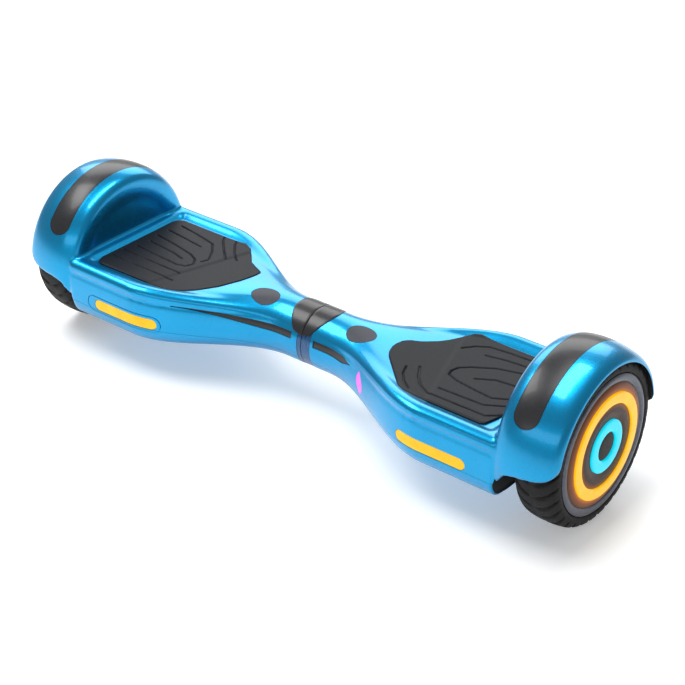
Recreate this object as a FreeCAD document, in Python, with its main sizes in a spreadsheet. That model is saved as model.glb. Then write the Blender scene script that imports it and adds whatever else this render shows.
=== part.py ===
import FreeCAD, Part
import math
import os
import re
import Sketcher

# Self balancing hoverboard, in millimetres. X runs along the axle line, the front is -Y and +Z is up.
# The origin is on the ground under the middle of the neck. Two halves twist on one tube in the neck,
# and each half carries a hub motor wheel at its outer end.

doc = FreeCAD.newDocument("hoverboard")
sheet = doc.addObject("Spreadsheet::Sheet", "sizes")

SIZES = [
    # wheel and hub motor
    ("tyre_radius", 82.5), ("tyre_width", 46), ("rim_radius", 62), ("rim_wall", 5), ("rim_width", 42),
    ("flange_height", 4), ("flange_width", 3), ("magnet_thickness", 3), ("air_gap", 1),
    ("stator_width", 19), ("axle_radius", 6), ("bearing_radius", 14), ("bearing_width", 8),
    ("cover_thickness", 3), ("lamp_height", 3), ("lamp_seat", 1.5), ("ring_lamp_outer", 52),
    ("ring_lamp_inner", 40), ("centre_lamp_outer", 26), ("centre_lamp_inner", 14), ("cap_height", 2),
    # shells
    ("wall", 3), ("seam_gap", 0.8), ("neck_radius", 31), ("flare_start", 27), ("flare_end", 185),
    ("deck_half_depth", 87), ("deck_end", 266), ("end_wall", 4), ("wheel_gap", 16), ("fender_gap", 6),
    ("fender_wall", 3), ("fender_lip", 3), ("crown_inset", 12), ("skirt_slope", 23),
    ("axle_slot_radius", 9),
    # inlaid trim
    ("strip_width", 26), ("strip_inset", 15), ("strip_depth", 2.2), ("strip_angle", 30),
    ("light_start", 152), ("light_length", 80), ("light_height", 11),
    ("window_centre", 61), ("window_forward", 12), ("window_half_length", 16),
    ("window_half_depth", 12),
    ("cover_length", 23), ("cover_depth", 1.4), ("cover_proud", 0.5),
    ("slot_start", 26), ("slot_length", 40), ("slot_height", 4),
    ("accent_start", 85), ("accent_length", 6), ("accent_height", 24),
    # foot mat and the trigger plates under it
    ("mat_thickness", 3), ("mat_start", 97), ("mat_shoulder", 140), ("mat_end", 250),
    ("rim_band", 25), ("mat_nose", 22), ("mat_gap", 0.4), ("trigger_centre", 190),
    ("trigger_length", 66), ("trigger_depth", 36), ("trigger_offset", 30), ("trigger_thickness", 4.2),
    ("trigger_gap", 0.3), ("trigger_flange", 2), ("flange_thickness", 2.4),
    # chassis, pivot and what is bolted to them
    ("plate_thickness", 5), ("plate_start", 96), ("plate_half_depth", 42),
    ("sleeve_wall", 3), ("sleeve_start", 26), ("sleeve_length", 76), ("tube_radius", 15),
    ("tube_wall", 3.5), ("tube_length", 210), ("tube_end_gap", 1), ("bush_wall", 3),
    ("bush_length", 15), ("bush_gap", 0.05),
    ("ring_width", 2), ("ring_height", 2.7), ("ring_gap", 0.3), ("gusset_length", 34),
    ("gusset_half_depth", 18), ("block_start", 238), ("block_length", 20), ("web_length", 12),
    ("block_half_depth", 22), ("bolt_radius", 2.5), ("bolt_head", 4.5), ("bolt_head_height", 4),
    ("bolt_depth", 9), ("bolt_offset_x", 6), ("bolt_offset_y", 14.5), ("stop_radius", 3),
    ("stop_position", 63), ("stop_play", 1), ("twist_room", 14),
    # electrics
    ("battery_start", 134), ("battery_length", 94), ("battery_inset", 43), ("battery_height", 33),
    ("board_start", 142), ("board_length", 84), ("board_half_depth", 38), ("board_drop", 10),
    ("board_thickness", 1.6), ("post_radius", 3), ("post_inset", 5), ("sink_start", 30),
    ("sink_length", 40), ("sink_depth", 24), ("sensor_start", 175), ("sensor_length", 40),
    ("sensor_half_depth", 32), ("sensor_post", 1.5), ("cable_radius", 4), ("cable_hole", 5),
    ("cable_gap", 0.3), ("connector_length", 8),
    # charging port and power button
    ("socket_x", 165), ("socket_radius", 8), ("socket_bore", 5.5), ("socket_inset", 0.6),
    ("socket_length", 16), ("socket_depth", 11), ("flange_depth", 1.2), ("tab_half_height", 4),
    ("lid_radius", 9.5), ("lid_thickness", 2), ("lid_gap", 0.4), ("lid_hinge", 13.5), ("lid_pin", 1.3),
    ("button_x", 205), ("button_radius", 7), ("button_length", 9), ("button_gap", 0.3),
    ("boss_wall", 3), ("boss_length", 9),
    # case screws
    ("post_outer", 5), ("screw_radius", 1.6), ("screw_head", 3.2), ("head_height", 3),
    ("inner_screw_x", 120), ("inner_screw_y", 50), ("outer_screw_x", 244), ("outer_screw_inset", 24),
]

# Levels, counted up from the axle line.
LEVELS = [
    ("neck_level", -7.5), ("deck_top", 21.5), ("deck_side", 9.5), ("deck_bottom", -43.5),
    ("parting", -22.5), ("skirt", -15.5), ("mat_seat", 16), ("plate_bottom", -2.5),
    ("gusset_bottom", -26.5), ("block_top", 12.5), ("clamp_bottom", -14.5), ("port_level", -12.5),
    ("light_bottom", -20.5), ("slot_bottom", -0.5), ("accent_bottom", -18), ("cover_edge", 7.5),
    ("head_level", -30.5), ("screw_top", -4.5),
]

# Sizes that follow from the others.
DERIVED = {
    "wheel_centre": "(deck_end + wheel_gap + tyre_width / 2)",
    "fender_radius": "(tyre_radius + fender_gap + fender_wall)",
    "fender_edge": "(deck_end + wheel_gap + tyre_width + fender_lip)",
    "fender_centre": "(deck_end + wheel_gap + tyre_width / 2 - crown_inset)",
    "fender_foot": "(deck_end - end_wall)",
    "strip_centre": "(deck_end + wheel_gap + tyre_width / 2 - strip_inset)",
    "mat_half_depth": "(deck_half_depth - rim_band)",
    "sleeve_radius": "(tube_radius + bush_wall + sleeve_wall)",
    "board_level": "(plate_bottom - board_drop)",
    "battery_half_depth": "(deck_half_depth - battery_inset)",
    "socket_face": "(deck_half_depth - socket_inset)",
    "outer_screw_y": "(deck_half_depth - outer_screw_inset)",
}
for name, _ in LEVELS:
    DERIVED[name] = f"(tyre_radius + {name}_rise)"
SIZES += [(f"{name}_rise", rise) for name, rise in LEVELS]
for row, (alias, value) in enumerate(SIZES, start=1):
    sheet.set(f"A{row}", alias)
    sheet.set(f"B{row}", str(value))
    sheet.setAlias(f"B{row}", alias)
doc.recompute()

ALIASES = {alias for alias, _ in SIZES}
WORD = r"[a-z]\w*"
pieces = []


def spelled_out(expression):
    """An expression with its derived names replaced by the aliases that they come from."""
    while set(re.findall(WORD, expression)) & set(DERIVED):
        expression = re.sub(WORD, lambda word: DERIVED.get(word[0], word[0]), expression)
    return expression


def size(expression):
    """Value of an expression."""
    return float(sheet.evalExpression(spelled_out(expression)))


def bound(expression):
    """The same expression as an object other than the sheet has to write it."""
    return re.sub(WORD, lambda word: "sizes." * (word[0] in ALIASES) + word[0], spelled_out(expression))


def bind(item, **expressions):
    for prop, expression in expressions.items():
        item.setExpression(prop.replace("__", "."), bound(expression))


def place(item, x="0", y="0", z="0"):
    for axis, expression in zip("xyz", (x, y, z)):
        item.setExpression(f"Placement.Base.{axis}", bound(expression))


def block(name, x, y, z, length, width, height):
    """Box from its low corner."""
    item = doc.addObject("Part::Box", name)
    bind(item, Length=length, Width=width, Height=height)
    place(item, x, y, z)
    return item


TURNS = {
    "x": FreeCAD.Rotation(FreeCAD.Vector(0, 1, 0), 90),
    "y": FreeCAD.Rotation(FreeCAD.Vector(1, 0, 0), -90),
    "z": FreeCAD.Rotation(),
}


def rod(name, along, radius, length, x="0", y="0", z="0"):
    """Cylinder that runs along +X, +Y or +Z from a point."""
    item = doc.addObject("Part::Cylinder", name)
    item.Placement = FreeCAD.Placement(FreeCAD.Vector(0, 0, 0), TURNS[along])
    bind(item, Radius=radius, Height=length)
    place(item, x, y, z)
    return item


def join(name, *items):
    result = doc.addObject("Part::MultiFuse", name)
    result.Shapes = list(items)
    return result


def cut(name, base, tool):
    result = doc.addObject("Part::Cut", name)
    result.Base = base
    result.Tool = tool
    return result


def overlap(name, first, second):
    result = doc.addObject("Part::Common", name)
    result.Base = first
    result.Tool = second
    return result


def freeform(name, shape):
    item = doc.addObject("Part::Feature", name)
    item.Shape = shape
    return item


def piece(item, label):
    """Name a finished sub-part."""
    item.Label = label
    pieces.append(item)
    return item


def mirrored(item, label):
    """The same sub-part on the other side of the neck."""
    result = doc.addObject("Part::Mirroring", label)
    result.Source = item
    result.Normal = (1, 0, 0)
    return piece(result, label)


def both_sides(item, name):
    piece(item, "right_" + name)
    mirrored(item, "left_" + name)


def origin_plane(body, role):
    return [feature for feature in body.Origin.OriginFeatures if feature.Role == role][0]


def outline(body, name, role, corners, level):
    """Closed outline of straight runs, each corner held by two expressions, raised to a level."""
    sketch = body.newObject("Sketcher::SketchObject", name)
    sketch.AttachmentSupport = [(origin_plane(body, role), "")]
    sketch.MapMode = "FlatFace"
    lift = "AttachmentOffset.Base.y" if role == "XZ_Plane" else "AttachmentOffset.Base.z"
    sketch.setExpression(lift, bound(level))
    values = [(size(across), size(up)) for across, up in corners]
    count = len(corners)
    for index in range(count):
        start = FreeCAD.Vector(*values[index], 0)
        end = FreeCAD.Vector(*values[(index + 1) % count], 0)
        sketch.addGeometry(Part.LineSegment(start, end))
    for index in range(count):
        sketch.addConstraint(Sketcher.Constraint("Coincident", index, 2, (index + 1) % count, 1))
    for index, (corner, value) in enumerate(zip(corners, values)):
        for kind, axis, expression, number in zip(("DistanceX", "DistanceY"), (-2, -1), corner, value):
            if abs(number) < 1e-9:
                sketch.addConstraint(Sketcher.Constraint("PointOnObject", index, 1, axis))
            elif number > 0:
                row = sketch.addConstraint(Sketcher.Constraint(kind, -1, 1, index, 1, number))
                sketch.setExpression(f"Constraints[{row}]", bound(expression))
            else:
                row = sketch.addConstraint(Sketcher.Constraint(kind, index, 1, -1, 1, -number))
                sketch.setExpression(f"Constraints[{row}]", bound(f"-({expression})"))
    return sketch


def turned(name, corners):
    """Body turned about the axle line from an outline of (x, radius) corners."""
    body = doc.addObject("PartDesign::Body", name)
    sketch = outline(body, name + "_profile", "XZ_Plane", corners, "tyre_radius")
    feature = body.newObject("PartDesign::Revolution", name + "_turn")
    feature.Profile = sketch
    feature.ReferenceAxis = (sketch, ["H_Axis"])
    feature.Angle = 360
    return body


def ring(name, start, length, inner, outer):
    """Plain ring about the axle line."""
    end = f"{start} + {length}"
    return turned(name, [(start, inner), (end, inner), (end, outer), (start, outer)])


def padded_outline(name, corners, level, thickness):
    """Flat body with an outline of (x, y) corners, from a level upwards."""
    body = doc.addObject("PartDesign::Body", name)
    sketch = outline(body, name + "_outline", "XY_Plane", corners, level)
    pad = body.newObject("PartDesign::Pad", name + "_pad")
    pad.Profile = sketch
    bind(pad, Length=thickness)
    return body


# Forms of the shells. A cross-section is a superellipse whose upper and lower halves have their own
# height and squareness. It is round in the neck and square under the foot deck.

QUARTER_POINTS = 8
NECK_SQUARENESS = 2.0
DECK_SQUARENESS_ABOVE = 6.0
DECK_SQUARENESS_BELOW = 3.2
STATIONS = 17


def quarter(reach, rise, squareness):
    """Points of a quarter superellipse, evenly spaced along it, from the side to the middle."""
    fine = 400
    curve = []
    for step in range(fine + 1):
        angle = math.pi / 2 * step / fine
        across = max(0.0, math.cos(angle)) ** (2 / squareness)
        up = math.sin(angle) ** (2 / squareness)
        curve.append((reach * across, rise * up))
    travelled = [0.0]
    for before, after in zip(curve, curve[1:]):
        travelled.append(travelled[-1] + math.dist(before, after))
    points = []
    for step in range(QUARTER_POINTS):
        target = travelled[-1] * step / (QUARTER_POINTS - 1)
        points.append(min(zip(travelled, curve), key=lambda entry: abs(entry[0] - target))[1])
    points[0] = (reach, 0)
    points[-1] = (0, rise)
    return points


def cross_section(x, half_depth, top, side, bottom, above, below):
    upper = quarter(half_depth, top - side, above)
    lower = quarter(half_depth, side - bottom, below)
    quarters = [[(y, side + z) for y, z in upper], [(-y, side + z) for y, z in reversed(upper)],
                [(-y, side - z) for y, z in lower], [(y, side - z) for y, z in reversed(lower)]]
    edges = []
    for points in quarters:
        curve = Part.BSplineCurve()
        curve.interpolate([FreeCAD.Vector(x, y, z) for y, z in points])
        edges.append(curve.toShape())
    return Part.Wire(edges)


def half_form(start, end, inset, deck_top, side_drop):
    """Solid of one half from the seam to the wheel end, drawn in from the outside by inset."""
    neck_radius = size("neck_radius") - inset
    neck_level = size("neck_level")
    deck = size("deck_half_depth") - inset
    deck_side = size("deck_side") - side_drop
    deck_bottom = size("deck_bottom") + inset
    flare_start = size("flare_start")
    flare_end = size("flare_end")
    wires = []
    for station in range(STATIONS):
        x = start + (end - start) * station / (STATIONS - 1)
        flared = min(max((x - flare_start) / (flare_end - flare_start), 0), 1)
        share = flared * flared * (3 - 2 * flared)
        half_depth = neck_radius + share * (deck - neck_radius)
        top = neck_level + neck_radius + share * (deck_top - neck_level - neck_radius)
        side = neck_level + share * (deck_side - neck_level)
        bottom = neck_level - neck_radius + share * (deck_bottom - neck_level + neck_radius)
        above = NECK_SQUARENESS + share * (DECK_SQUARENESS_ABOVE - NECK_SQUARENESS)
        below = NECK_SQUARENESS + share * (DECK_SQUARENESS_BELOW - NECK_SQUARENESS)
        wires.append(cross_section(x, half_depth, top, side, bottom, above, below))
    return Part.makeLoft(wires, True, False)


def crown(x_start, x_end, radius, profile):
    """Solid turned about the axle line from a curved fender profile of (offset, drop) points."""
    centre = size("fender_centre")
    axle = size("tyre_radius")
    points = [FreeCAD.Vector(centre + offset, 0, axle + radius - drop) for offset, drop in profile]
    points[0].x = x_start
    points[-1].x = x_end
    curve = Part.BSplineCurve()
    curve.interpolate(points)
    on_axis = [FreeCAD.Vector(x_end, 0, axle), FreeCAD.Vector(x_start, 0, axle)]
    runs = [Part.makeLine(points[-1], on_axis[0]), Part.makeLine(*on_axis),
            Part.makeLine(on_axis[1], points[0])]
    face = Part.Face(Part.Wire([curve.toShape()] + runs))
    return face.revolve(on_axis[0], FreeCAD.Vector(1, 0, 0), 360)


FENDER_PROFILE = [(-31, 12.5), (-24, 6), (-14, 1.5), (0, 0), (14, 1), (26, 3.5), (33, 6), (38, 10)]
ARCH_PROFILE = [(-27, 6.5), (-20, 2.5), (-12, 0.5), (0, 0), (14, 1), (26, 3), (33, 5), (45, 6)]

outer_half = freeform("outer_half", half_form(size("seam_gap / 2"), size("deck_end"), 0, size("deck_top"), 0))
inner_half = freeform("inner_half", half_form(0, size("deck_end - end_wall"), size("wall"),
                                              size("mat_seat - wall"), size("2 * wall")))
fender_outer = freeform("fender_outer", crown(size("fender_foot"), size("fender_edge"),
                                              size("fender_radius"), FENDER_PROFILE))
wheel_arch = freeform("wheel_arch", crown(size("fender_foot + end_wall"), size("fender_edge + wall"),
                                          size("fender_radius - fender_wall"), ARCH_PROFILE))

# The fender covers the upper part of the wheel. Its lower edge climbs outwards from the end of the deck.
above_skirt = doc.addObject("Part::Box", "above_skirt")
above_skirt.Placement.Rotation = FreeCAD.Rotation(FreeCAD.Vector(0, -1, 0), size("skirt_slope"))
bind(above_skirt, Length="3 * tyre_radius", Width="4 * tyre_radius", Height="3 * tyre_radius")
place(above_skirt, "fender_foot", "-2 * tyre_radius", "skirt")
fender = overlap("fender", fender_outer, above_skirt)
outer = join("outer", outer_half, fender)
hollow = join("hollow", inner_half, wheel_arch)
shell_wall = cut("shell_wall", outer, hollow)

# Screw posts stand on the bottom shell and meet posts of the top shell at the parting.
post_places = [("inner_screw_x", "inner_screw_y"), ("inner_screw_x", "-inner_screw_y"),
               ("outer_screw_x", "outer_screw_y"), ("outer_screw_x", "-outer_screw_y")]
posts = [rod(f"post_{n}", "z", "post_outer", "deck_top", x, y) for n, (x, y) in enumerate(post_places)]
button_boss = rod("button_boss", "y", "button_radius + button_gap + boss_wall", "boss_length",
                  "button_x", "deck_half_depth - button_length - 1", "port_level")
post_group = overlap("post_group", join("all_posts", button_boss, *posts), outer)
solid_shell = join("solid_shell", shell_wall, post_group)

# Openings through the shell.
shanks = [rod(f"shank_{n}", "z", "screw_radius", "screw_top", x, y) for n, (x, y) in enumerate(post_places)]
head_bores = [rod(f"head_bore_{n}", "z", "screw_head", "head_level", x, y)
              for n, (x, y) in enumerate(post_places)]
axle_hole = rod("axle_hole", "x", "axle_slot_radius", "4 * end_wall", "fender_foot - end_wall", "0",
                "tyre_radius")
axle_slot = block("axle_slot", "fender_foot - end_wall", "-axle_slot_radius", "parting",
                  "4 * end_wall", "2 * axle_slot_radius", "tyre_radius - parting")
socket_hole = rod("socket_hole", "y", "socket_radius", "deck_half_depth", "socket_x", "0", "port_level")
button_hole = rod("button_hole", "y", "button_radius + button_gap", "deck_half_depth", "button_x", "0",
                  "port_level")


def mat_outline(grow):
    """Corners of the foot mat, wide by the wheel and narrowing to a blunt nose by the neck."""
    half = [(f"mat_start - {grow}", "0"), (f"mat_start + 4 - {grow}", f"mat_nose + {grow}"),
            (f"mat_start + 20 - {grow}", f"mat_nose + 6 + {grow}"),
            (f"mat_shoulder - 14 - {grow}", f"mat_half_depth - 17 + {grow}"),
            (f"mat_shoulder - {grow}", f"mat_half_depth + {grow}"),
            (f"mat_end + {grow}", f"mat_half_depth + {grow}")]
    mirror_half = [(across, f"-({up})") for across, up in reversed(half[1:])]
    return half + mirror_half


mat_recess = padded_outline("mat_recess", mat_outline("mat_gap"), "mat_seat", "deck_half_depth")
trigger_places = [("front", "-trigger_offset"), ("rear", "trigger_offset")]
trigger_holes = [block(f"{end}_trigger_hole", "trigger_centre - trigger_length / 2 - trigger_gap",
                       f"{y} - trigger_depth / 2 - trigger_gap", "mat_seat - 2 * wall",
                       "trigger_length + 2 * trigger_gap", "trigger_depth + 2 * trigger_gap", "4 * wall")
                 for end, y in trigger_places]

# Trim is let into the shell: each inlay is what its tool takes out of the wall.
strip_box = block("strip_box", "strip_centre - strip_width / 2", "-fender_radius - 5",
                  "tyre_radius + fender_radius * sin(strip_angle * 1 deg)", "strip_width",
                  "2 * fender_radius + 10", "fender_radius")
strip_core = rod("strip_core", "x", "fender_radius - strip_depth", "2 * fender_radius",
                 "strip_centre - fender_radius", "0", "tyre_radius")
strip_tool = cut("strip_tool", strip_box, strip_core)
light_box = block("light_box", "light_start", "-2 * deck_half_depth", "light_bottom", "light_length",
                  "2 * deck_half_depth - neck_radius", "light_height")
light_tool = doc.addObject("Part::Fillet", "light_tool")
light_tool.Base = light_box
doc.recompute()
upright = [(n, 0.45 * size("light_height"), 0.45 * size("light_height"))
           for n, edge in enumerate(light_box.Shape.Edges, start=1)
           if abs(edge.tangentAt(edge.FirstParameter).y) > 0.9]
light_tool.Edges = upright
window_middle = FreeCAD.Vector(size("window_centre"), -size("window_forward"), size("neck_level"))
window_edge = Part.Ellipse(window_middle, size("window_half_length"), size("window_half_depth"))
window_face = Part.Face(Part.Wire([window_edge.toShape()]))
window_tool = freeform("window_tool", window_face.extrude(FreeCAD.Vector(0, 0, size("deck_top"))))
slot_tool = block("slot_tool", "slot_start", "-deck_half_depth", "slot_bottom", "slot_length",
                  "deck_half_depth", "slot_height")
accent_tool = block("accent_tool", "accent_start", "-deck_half_depth", "accent_bottom", "accent_length",
                    "deck_half_depth", "accent_height")
cover_tube = cut("cover_tube",
                 rod("cover_outside", "x", "neck_radius + cover_proud", "cover_length - seam_gap / 2",
                     "seam_gap / 2", "0", "neck_level"),
                 rod("cover_inside", "x", "neck_radius - cover_depth", "cover_length", "0", "0",
                     "neck_level"))
cover_box = block("cover_box", "0", "-2 * neck_radius", "cover_edge", "2 * cover_length",
                  "4 * neck_radius", "2 * neck_radius")
centre_cover = overlap("centre_cover", cover_tube, cover_box)

inlay_tools = {"fender_strip": strip_tool, "light_lens": light_tool, "indicator_window": window_tool,
               "slot_trim": slot_tool}
for name, tool in inlay_tools.items():
    both_sides(overlap(name, shell_wall, tool), name)
accent = overlap("accent", shell_wall, accent_tool)
piece(accent, "right_accent_light")
both_sides(centre_cover, "centre_cover")

# Top and bottom shells. The charging socket and the power button pass through the right half only.
upper_half = block("upper_half", "-deck_end", "-2 * deck_half_depth", "parting", "4 * deck_end",
                   "4 * deck_half_depth", "4 * deck_half_depth")
shared_cuts = [axle_hole, axle_slot, mat_recess, strip_tool, light_tool, window_tool, slot_tool]
shared_cuts += trigger_holes + shanks + head_bores
shared_cuts.append(overlap("top_cover_cut", cover_tube, cover_box))
left_openings = join("left_openings", *shared_cuts)
right_openings = join("right_openings", socket_hole, button_hole, accent_tool, *shared_cuts)
left_cased = cut("left_cased", solid_shell, left_openings)
right_cased = cut("right_cased", solid_shell, right_openings)
piece(overlap("right_top", right_cased, upper_half), "right_top_shell")
piece(cut("right_bottom", right_cased, upper_half), "right_bottom_shell")
mirrored(overlap("left_top", left_cased, upper_half), "left_top_shell")
mirrored(cut("left_bottom", left_cased, upper_half), "left_bottom_shell")

# Foot mat, and the two plates under it that press on the rider sensors.
mat = padded_outline("foot_mat", mat_outline("0"), "mat_seat", "mat_thickness")
both_sides(mat, "foot_mat")
for end, y in trigger_places:
    plate = block(f"{end}_plate", "trigger_centre - trigger_length / 2", f"{y} - trigger_depth / 2",
                  "mat_seat - trigger_gap - trigger_thickness - flange_thickness / 2", "trigger_length",
                  "trigger_depth", "trigger_thickness + flange_thickness / 2")
    flange = block(f"{end}_flange", "trigger_centre - trigger_length / 2 - trigger_flange",
                   f"{y} - trigger_depth / 2 - trigger_flange",
                   "mat_seat - wall - trigger_gap - flange_thickness", "trigger_length + 2 * trigger_flange",
                   "trigger_depth + 2 * trigger_flange", "flange_thickness")
    both_sides(join(f"{end}_trigger_solid", plate, flange), f"{end}_trigger")

# Cast chassis: a flat plate, a sleeve on the pivot tube, a gusset and the block that holds the axle.
plate = block("plate", "plate_start", "-plate_half_depth", "plate_bottom", "block_start - plate_start",
              "2 * plate_half_depth", "plate_thickness")
sleeve = rod("sleeve", "x", "sleeve_radius", "sleeve_length", "sleeve_start", "0", "neck_level")
gusset = block("gusset", "plate_start", "-gusset_half_depth", "gusset_bottom", "gusset_length",
               "2 * gusset_half_depth", "plate_bottom - gusset_bottom + plate_thickness")
axle_block = block("axle_block", "block_start", "-block_half_depth", "tyre_radius", "block_length",
                   "2 * block_half_depth", "block_top - tyre_radius")
web = block("web", "block_start - web_length", "-block_half_depth", "plate_bottom", "web_length",
            "2 * block_half_depth", "block_top - plate_bottom")
casting = join("casting", plate, sleeve, gusset, axle_block, web)
axle_bore = rod("axle_bore", "x", "axle_radius", "2 * block_length", "block_start", "0", "tyre_radius")
cable_bore = rod("cable_bore", "x", "cable_hole", "2 * deck_half_depth", "sleeve_start", "0", "neck_level")
bolt_places = [(f"block_start + block_length / 2 {sx} bolt_offset_x", f"{sy}bolt_offset_y")
               for sx in "+-" for sy in ("", "-")]
bolts = [rod(f"bolt_{n}", "z", "bolt_radius", "tyre_radius - clamp_bottom + bolt_depth", x, y, "clamp_bottom")
         for n, (x, y) in enumerate(bolt_places)]
heads = [rod(f"bolt_head_{n}", "z", "bolt_head", "bolt_head_height", x, y, "clamp_bottom - bolt_head_height")
         for n, (x, y) in enumerate(bolt_places)]
bolt_group = join("bolt_group", *bolts)
tube_bore = rod("tube_bore", "x", "tube_radius", "2 * sleeve_length", "0", "0", "neck_level")
bush_bore = rod("bush_bore", "x", "tube_radius + bush_wall", "2 * sleeve_length", "0", "0", "neck_level")
tube_room = block("tube_room", "0", "-2 * sleeve_radius", "0",
                  "sleeve_start + sleeve_length + bush_wall + tube_end_gap", "4 * sleeve_radius",
                  "4 * neck_level")
left_bores = join("left_bores", axle_bore, cable_bore, bolt_group,
                  overlap("left_tube_bore", tube_bore, tube_room))
stop_pin = rod("stop_pin", "z", "stop_radius", "sleeve_radius - tube_radius + tube_wall", "stop_position", "0",
               "neck_level + tube_radius - tube_wall")
right_bores = join("right_bores", axle_bore, cable_bore, bolt_group, stop_pin,
                   overlap("right_bush_bore", bush_bore, tube_room))
piece(cut("right_casting", casting, right_bores), "right_chassis")
mirrored(cut("left_casting", casting, left_bores), "left_chassis")

clamp_blank = block("clamp_blank", "block_start", "-block_half_depth", "clamp_bottom", "block_length",
                    "2 * block_half_depth", "tyre_radius - clamp_bottom")
both_sides(cut("clamp_solid", clamp_blank, join("clamp_bores", axle_bore, bolt_group)), "axle_clamp")
case_screws = [join(f"case_screw_{n}",
                    rod(f"screw_shank_{n}", "z", "screw_radius", "screw_top - head_level", x, y, "head_level"),
                    rod(f"screw_cap_{n}", "z", "screw_head", "head_height", x, y, "head_level - head_height"))
               for n, (x, y) in enumerate(post_places)]
fixings = case_screws + bolts + heads
right_fixings = join("right_fixings", stop_pin, *fixings)
left_fixings = join("left_fixings", *fixings)
piece(right_fixings, "right_screws")
mirrored(left_fixings, "left_screws")

# Pivot tube. It is clamped in the left sleeve and turns in two bushes of the right sleeve.
tube_outside = rod("tube_outside", "x", "tube_radius", "tube_length", "-tube_length / 2", "0", "neck_level")
tube_inside = rod("tube_inside", "x", "tube_radius - tube_wall", "2 * tube_length", "-tube_length", "0",
                  "neck_level")
twist_slot = block("twist_slot", "stop_position - stop_radius - stop_play",
                   "-stop_radius - tube_radius * sin(twist_room * 1 deg)", "neck_level",
                   "2 * stop_radius + 2 * stop_play",
                   "2 * stop_radius + 2 * tube_radius * sin(twist_room * 1 deg)", "2 * tube_radius")
piece(cut("tube_solid", tube_outside, join("tube_cuts", tube_inside, twist_slot)), "pivot_tube")
bush_starts = ["sleeve_start", "sleeve_start + sleeve_length - bush_length"]
bush_rings = [cut(f"bush_{n}",
                  rod(f"bush_outside_{n}", "x", "tube_radius + bush_wall", "bush_length", start, "0",
                      "neck_level"),
                  rod(f"bush_inside_{n}", "x", "tube_radius + bush_gap", "2 * bush_length", start, "0",
                      "neck_level"))
              for n, start in enumerate(bush_starts)]
piece(join("bush_pair", *bush_rings), "pivot_bushes")
ring_start = "sleeve_start + sleeve_length + ring_gap"
piece(cut("ring_solid",
          rod("ring_outside", "x", "tube_radius + ring_height", "ring_width", ring_start, "0", "neck_level"),
          rod("ring_inside", "x", "tube_radius", "4 * ring_width", "sleeve_start + sleeve_length - ring_width",
              "0", "neck_level")), "pivot_retaining_ring")

# Electrics: battery in the left half, control board in the right half, one cable through the pivot tube.
battery = block("battery", "-battery_start - battery_length", "-battery_half_depth",
                "plate_bottom - battery_height", "battery_length", "2 * battery_half_depth", "battery_height")
piece(battery, "battery_pack")
board_plate = block("board_plate", "board_start", "-board_half_depth", "board_level", "board_length",
                    "2 * board_half_depth", "board_thickness")
board_corners = [(x, y) for x in ("board_start + post_inset", "board_start + board_length - post_inset")
                 for y in ("board_half_depth - post_inset", "post_inset - board_half_depth")]
board_posts = [rod(f"board_post_{n}", "z", "post_radius", "plate_bottom - board_level", x, y,
                   "board_level")
               for n, (x, y) in enumerate(board_corners)]
heat_sink = block("heat_sink", "board_start + sink_start", "-sink_depth / 2", "board_level", "sink_length",
                  "sink_depth", "plate_bottom - board_level")
connector = block("connector", "board_start - connector_length", "-connector_length",
                  "board_level", "2 * connector_length", "2 * connector_length",
                  "plate_bottom - board_level")
piece(join("board_solid", board_plate, heat_sink, connector, *board_posts), "main_board")
cable = rod("cable", "x", "cable_radius",
            "battery_start + board_start - connector_length - cable_gap", "-battery_start", "0", "neck_level")
piece(cable, "bridge_cable")
sensor_plate = block("sensor_plate", "sensor_start", "-sensor_half_depth",
                     "plate_bottom + plate_thickness + sensor_post", "sensor_length",
                     "2 * sensor_half_depth", "board_thickness")
sensor_feet = [rod(f"sensor_foot_{n}", "z", "post_radius", "sensor_post",
                   "sensor_start + sensor_length / 2", y, "plate_bottom + plate_thickness")
               for n, y in enumerate(("sensor_half_depth - post_inset", "post_inset - sensor_half_depth"))]
both_sides(join("sensor_solid", sensor_plate, *sensor_feet), "sensor_board")

# Charging socket with its rubber lid, and the power button, on the rear of the right half.
socket_body = join("socket_body",
                   rod("socket_barrel", "y", "socket_radius", "socket_length", "socket_x",
                       "socket_face - socket_length", "port_level"),
                   rod("socket_flange", "y", "lid_radius", "flange_depth", "socket_x",
                       "socket_face - flange_depth", "port_level"),
                   block("socket_tab", "socket_x - lid_hinge - lid_pin", "socket_face - flange_depth",
                         "port_level - tab_half_height", "lid_hinge", "flange_depth + lid_gap",
                         "2 * tab_half_height"))
socket_room = rod("socket_room", "y", "socket_bore", "2 * socket_depth", "socket_x",
                  "socket_face - socket_depth", "port_level")
piece(cut("socket_solid", socket_body, socket_room), "charge_socket")
lid_face = "socket_face + 2 * lid_gap"
lid_disc = rod("lid_disc", "y", "lid_radius", "lid_thickness", "socket_x", lid_face, "port_level")
lid_strap = block("lid_strap", "socket_x - lid_hinge", lid_face, "port_level - tab_half_height",
                  "lid_hinge", "lid_thickness", "2 * tab_half_height")
lid_knuckle = rod("lid_knuckle", "z", "lid_pin", "2 * tab_half_height", "socket_x - lid_hinge",
                  f"{lid_face} + lid_pin", "port_level - tab_half_height")
piece(join("lid_solid", lid_disc, lid_strap, lid_knuckle), "charge_port_lid")
piece(rod("button", "y", "button_radius", "button_length", "button_x", "deck_half_depth - button_length",
          "port_level"), "power_button")

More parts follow.
